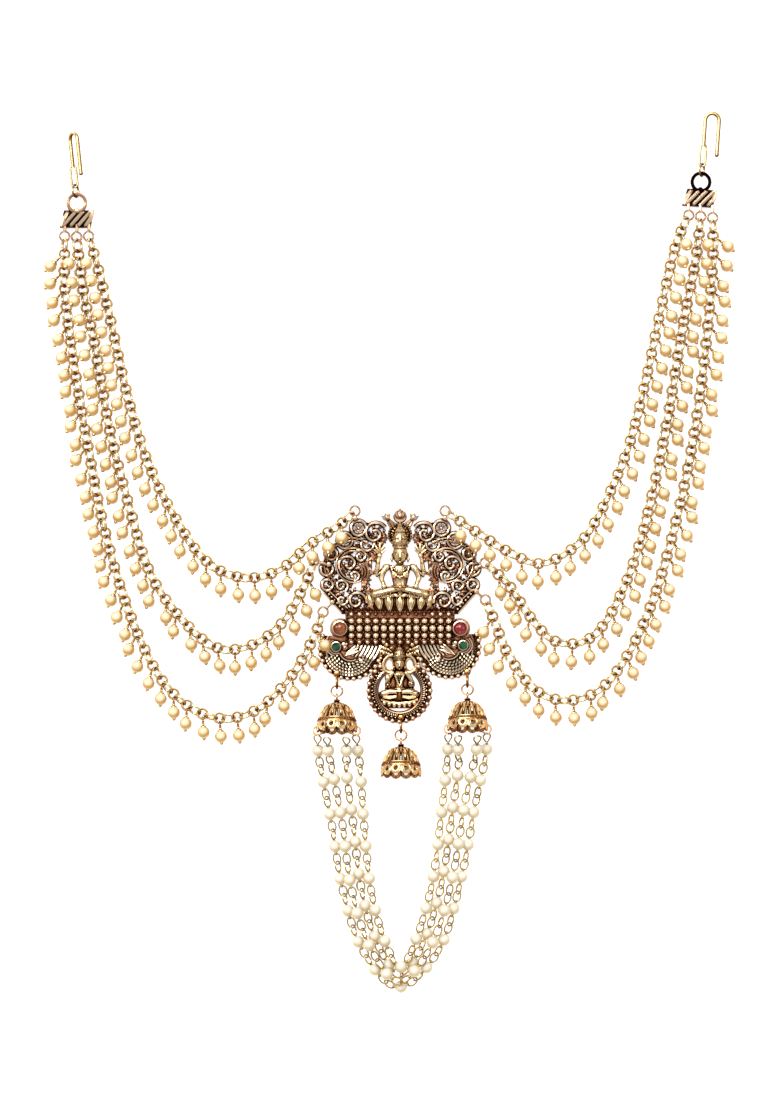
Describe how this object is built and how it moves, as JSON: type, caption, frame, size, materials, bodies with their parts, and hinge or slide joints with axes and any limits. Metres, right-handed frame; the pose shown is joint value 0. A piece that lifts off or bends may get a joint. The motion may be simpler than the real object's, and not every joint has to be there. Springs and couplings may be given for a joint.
{
  "type": "hair bun pin",
  "caption": "Hair bun pin: pierced antique-gold plate with hanging bells, fringed side chains ending in hooks, and a swag of pearl strands.",
  "frame": {"origin": "middle of the beaded bar, on the plane of the plate's back", "axes": "+Y towards the crest's top and the end hooks, +X to the right as seen from the front, +Z out of the plate's front, up as it lies"},
  "size_m": [0.2204, 0.2924, 0.0138],
  "materials": {
    "antique_gold": "antique gold plate, dark in its recesses",
    "bright_gold": "polished orange-gold plate",
    "pale_gold": "polished pale gold plate",
    "champagne_pearl": "champagne imitation pearl",
    "ivory_pearl": "ivory imitation pearl",
    "red_glass": "polished red cabochon",
    "orange_glass": "polished orange-brown cabochon",
    "green_glass": "faceted green stone"
  },
  "bodies": {
    "root": {"plate": "antique_gold", "stone_left": "orange_glass", "stone_right": "red_glass", "eye_stone_left": "green_glass", "eye_stone_right": "green_glass", "hair_pin": "pale_gold", "bell_left": "bright_gold", "bell_right": "bright_gold", "bell_centre": "bright_gold", "bell_ring_left": "bright_gold", "bell_ring_right": "bright_gold", "bell_ring_centre": "bright_gold", "rim_rings_left": "pale_gold", "rim_rings_right": "pale_gold", "end_bar_left": "antique_gold", "end_bar_right": "antique_gold", "hook_ring_left": "bright_gold", "hook_ring_right": "bright_gold", "hook_left": "bright_gold", "hook_right": "bright_gold", "chain_left_inner": "pale_gold", "chain_left_middle": "pale_gold", "chain_left_outer": "pale_gold", "chain_right_inner": "pale_gold", "chain_right_middle": "pale_gold", "chain_right_outer": "pale_gold", "swag_strand_1": "ivory_pearl", "swag_strand_2": "ivory_pearl", "swag_strand_3": "ivory_pearl", "swag_strand_4": "ivory_pearl"}
  },
  "joints": []
}
